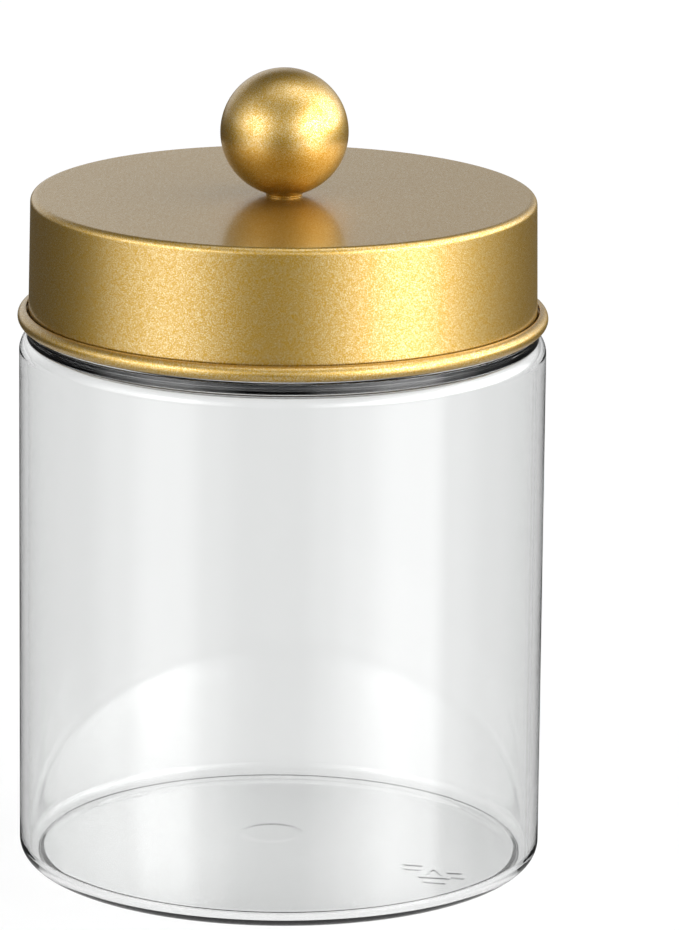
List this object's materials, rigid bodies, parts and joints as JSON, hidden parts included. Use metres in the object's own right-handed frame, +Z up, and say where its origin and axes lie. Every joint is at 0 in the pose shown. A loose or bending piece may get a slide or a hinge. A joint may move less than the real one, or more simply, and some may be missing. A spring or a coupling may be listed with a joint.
{
  "type": "screw-lid storage jar",
  "caption": "Cylindrical clear plastic apothecary jar with a threaded neck and a gold-painted metal screw lid that carries a ball knob and a foam seal.",
  "frame": {"origin": "middle of the base, on the surface that the jar stands on", "axes": "+Z up along the jar's axis, which is also the thread's axis and the direction in which the lid comes off"},
  "size_m": [0.073, 0.073, 0.1115],
  "materials": {
    "clear_plastic": "gloss",
    "gold_paint": "satin",
    "black_plastic": "satin",
    "seal_foam": "matte",
    "gold_knob": "gloss",
    "zinc_steel": "satin"
  },
  "bodies": {
    "jar": {"jar_body": "clear_plastic"},
    "liner": {"seal_liner": "seal_foam"},
    "lid": {"lid_shell": "gold_paint", "threaded_insert": "black_plastic", "ball_knob": "gold_knob", "knob_screw": "zinc_steel", "knob_washer": "zinc_steel"}
  },
  "joints": [
    {"name": "lid_rise", "type": "slide", "parent": "jar", "child": "liner", "axis": [0, 0, 1], "range_m": [0, 0.01693]},
    {"name": "lid_turn", "type": "hinge", "parent": "liner", "child": "lid", "pos_m": [0, 0, 0.0892], "axis": [0, 0, 1], "range_deg": [0, 1440]}
  ],
  "couplings": [
    {"joint": "lid_rise", "follows": "lid_turn", "m_per_rad": 0.0006737}
  ]
}
